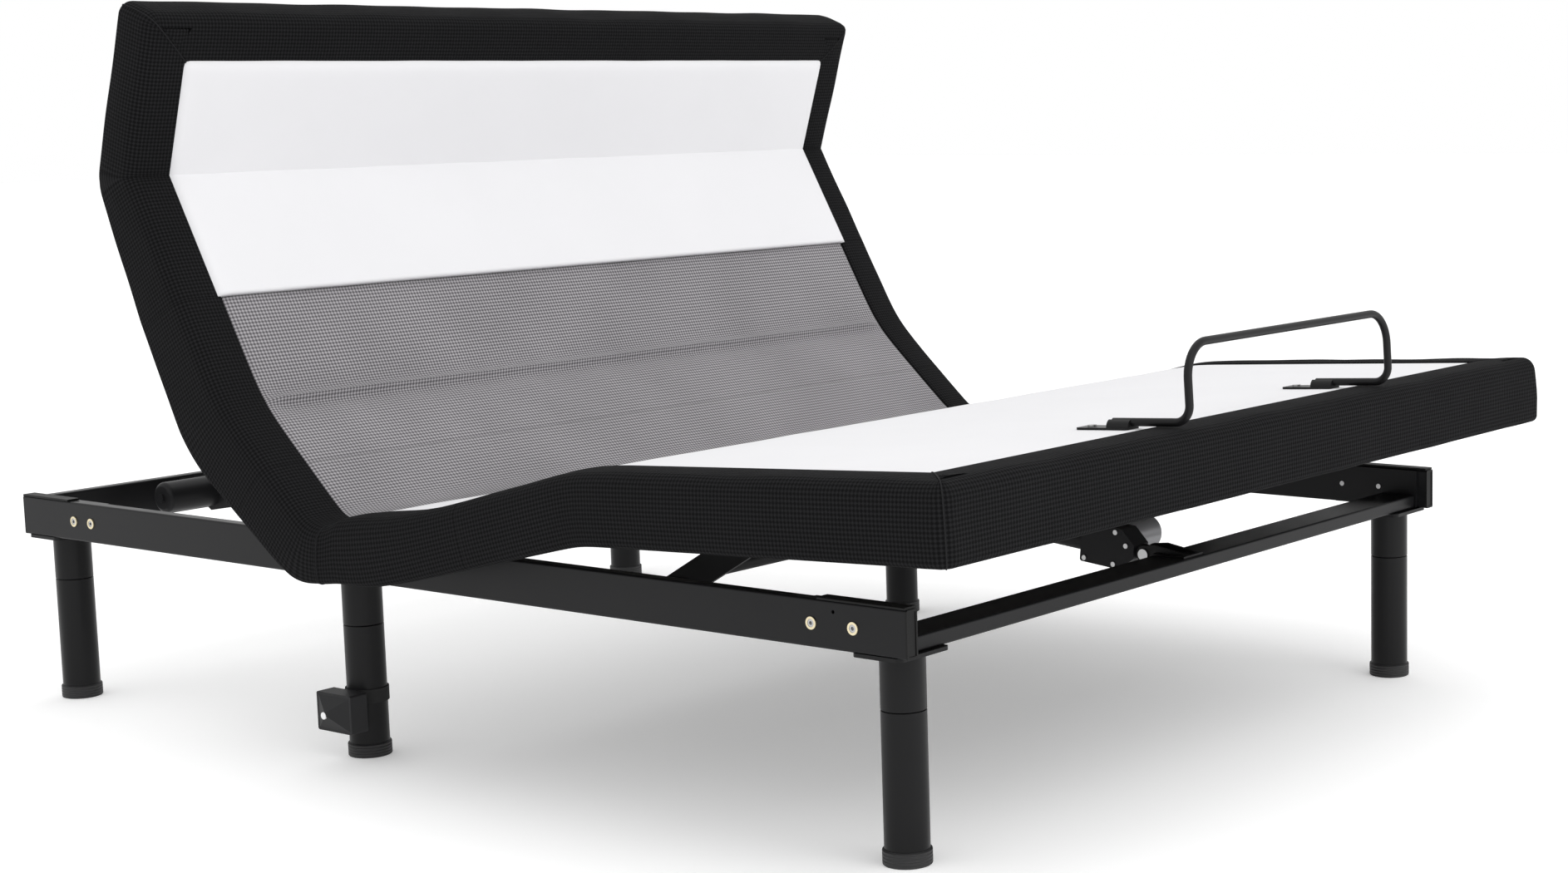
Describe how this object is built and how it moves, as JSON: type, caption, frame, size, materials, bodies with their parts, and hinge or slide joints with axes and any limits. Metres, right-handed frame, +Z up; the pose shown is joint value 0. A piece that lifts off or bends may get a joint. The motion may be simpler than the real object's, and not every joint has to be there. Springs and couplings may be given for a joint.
{
  "type": "adjustable bed base",
  "caption": "Motorised bed base: padded deck sections hinged for pillow, back, lumbar, thigh and foot on a steel frame with screw-on legs, with a mattress stop and an under-bed light.",
  "frame": {"origin": "centre of the bounding box at floor level", "axes": "+X across the width, +Y toward the head end, +Z up"},
  "size_m": [1.511, 1.9376, 1.0821],
  "materials": {
    "rail_paint": "satin charcoal powder coat",
    "leg_paint": "satin black powder coat",
    "frame_paint": "satin black powder coat",
    "glide_rubber": "ribbed matte",
    "cap_plastic": "matte black",
    "ferrule_brass": "satin",
    "bolt_steel": "brushed",
    "board_wood": "dark sealed board",
    "top_cover_white": "smooth woven ticking",
    "top_cover_grey": "open spacer mesh",
    "side_cover_black": "padded spacer mesh",
    "actuator_plastic": "matte black",
    "motor_grey": "satin grey",
    "motor_black": "satin black",
    "rod_steel": "bright",
    "roller_plastic": "matte nylon",
    "box_plastic": "matte black",
    "light_plastic": "matte dark grey",
    "lens_plastic": "white translucent",
    "strap_fabric": "webbing",
    "stop_paint": "satin black"
  },
  "bodies": {
    "base": {"rail_near": "rail_paint", "rail_far": "rail_paint", "rail_end_plugs": "cap_plastic", "rail_top_caps": "cap_plastic", "rail_ferrules": "ferrule_brass", "rail_bolts": "bolt_steel", "foot_rail": "rail_paint", "mid_rail": "rail_paint", "head_rail": "rail_paint", "rail_inner_plates": "rail_paint", "leg_lowers": "leg_paint", "leg_uppers": "leg_paint", "leg_glides": "glide_rubber", "leg_mount_plates": "leg_paint", "seat_board": "board_wood", "seat_pad": "top_cover_grey", "seat_side_pads": "side_cover_black", "seat_hinge_brackets": "frame_paint", "pivot_pins": "bolt_steel", "control_box": "box_plastic", "actuator_brackets": "frame_paint", "light_housing": "light_plastic", "light_lens": "lens_plastic", "light_strap": "strap_fabric"},
    "back_lower": {"back_lower_board": "board_wood", "back_lower_pad": "top_cover_grey", "back_lower_side_pads": "side_cover_black", "back_lower_frame": "frame_paint"},
    "back_upper": {"back_upper_board": "board_wood", "back_upper_pad": "top_cover_white", "back_upper_side_pads": "side_cover_black", "back_upper_frame": "frame_paint"},
    "pillow": {"pillow_board": "board_wood", "pillow_pad": "top_cover_white", "pillow_edge_pads": "side_cover_black", "pillow_frame": "frame_paint"},
    "thigh": {"thigh_board": "board_wood", "thigh_pad": "top_cover_white", "thigh_side_pads": "side_cover_black", "thigh_frame": "frame_paint"},
    "foot": {"foot_board": "board_wood", "foot_pad": "top_cover_white", "foot_edge_pads": "side_cover_black", "foot_frame": "frame_paint", "mattress_stop_plates": "stop_paint", "mattress_stop_bar": "stop_paint", "mattress_stop_screws": "bolt_steel"},
    "lift_frame": {"lift_arm_near": "frame_paint", "lift_arm_far": "frame_paint", "lift_cross_tube": "frame_paint"},
    "lift_rollers": {"lift_rollers": "roller_plastic"},
    "foot_actuator": {"foot_actuator_housing": "actuator_plastic", "foot_actuator_motor": "motor_grey", "foot_actuator_screws": "bolt_steel"},
    "foot_actuator_rod": {"foot_actuator_rod": "rod_steel"},
    "head_actuator": {"head_actuator_housing": "actuator_plastic", "head_actuator_motor": "motor_black"},
    "head_actuator_rod": {"head_actuator_rod": "rod_steel"},
    "pillow_actuator": {"pillow_actuator": "actuator_plastic"},
    "pillow_actuator_rod": {"pillow_actuator_rod": "rod_steel"}
  },
  "joints": [
    {"name": "back", "type": "hinge", "parent": "base", "child": "back_lower", "pos_m": [0, 0.15758, 0.333], "axis": [1, 0, 0], "range_deg": [-42.2, 8]},
    {"name": "lumbar", "type": "hinge", "parent": "back_lower", "child": "back_upper", "pos_m": [0, 0.33685, 0.49556], "axis": [1, 0, 0], "range_deg": [-18.7, 3.6]},
    {"name": "pillow", "type": "hinge", "parent": "back_upper", "child": "pillow", "pos_m": [0, 0.5237, 0.82989], "axis": [1, 0, 0], "range_deg": [-47.2, 3]},
    {"name": "thigh", "type": "hinge", "parent": "base", "child": "thigh", "pos_m": [0, 0.05318, 0.333], "axis": [-1, 0, 0], "range_deg": [-14.9, 17]},
    {"name": "foot", "type": "hinge", "parent": "thigh", "child": "foot", "pos_m": [0, -0.36971, 0.44552], "axis": [-1, 0, 0], "range_deg": [-13.8, 12.1]},
    {"name": "leg_lift", "type": "hinge", "parent": "base", "child": "lift_frame", "pos_m": [0, -0.34272, 0.285], "axis": [-1, 0, 0], "range_deg": [-29.9, 34.1]},
    {"name": "roller_spin", "type": "hinge", "parent": "lift_frame", "child": "lift_rollers", "pos_m": [0, -0.56901, 0.41303], "axis": [1, 0, 0], "continuous": true},
    {"name": "foot_actuator_swing", "type": "hinge", "parent": "base", "child": "foot_actuator", "pos_m": [0, -0.73172, 0.285], "axis": [1, 0, 0], "range_deg": [-1.62, 1.85]},
    {"name": "foot_actuator_extend", "type": "slide", "parent": "foot_actuator", "child": "foot_actuator_rod", "axis": [0, 0.9946, 0.1034], "range_m": [-0.0201, 0.0229]},
    {"name": "head_actuator_swing", "type": "hinge", "parent": "base", "child": "head_actuator", "pos_m": [-0.37, 0.90528, 0.296], "axis": [1, 0, 0], "range_deg": [-2.1, 10.5]},
    {"name": "head_actuator_extend", "type": "slide", "parent": "head_actuator", "child": "head_actuator_rod", "axis": [0, -0.9863, 0.1648], "range_m": [-0.023, 0.0045]},
    {"name": "pillow_actuator_swing", "type": "hinge", "parent": "back_upper", "child": "pillow_actuator", "pos_m": [0, 0.47371, 0.64819], "axis": [1, 0, 0], "range_deg": [-10.6, 0.8]},
    {"name": "pillow_actuator_extend", "type": "slide", "parent": "pillow_actuator", "child": "pillow_actuator_rod", "axis": [0, 0.3931, 0.9195], "range_m": [-0.0332, 0.0023]}
  ],
  "couplings": [
    {"joint": "lumbar", "follows": "back", "ratio": 0.44076},
    {"joint": "head_actuator_swing", "follows": "back", "ratio": -0.2454},
    {"joint": "head_actuator_extend", "follows": "back", "m_per_rad": 0.030917},
    {"joint": "pillow_actuator_swing", "follows": "pillow", "ratio": 0.2218},
    {"joint": "pillow_actuator_extend", "follows": "pillow", "m_per_rad": 0.040033},
    {"joint": "foot", "follows": "thigh", "ratio": -0.802},
    {"joint": "leg_lift", "follows": "thigh", "ratio": 2},
    {"joint": "foot_actuator_swing", "follows": "thigh", "ratio": 0.10605},
    {"joint": "foot_actuator_extend", "follows": "thigh", "m_per_rad": 0.076654}
  ]
}
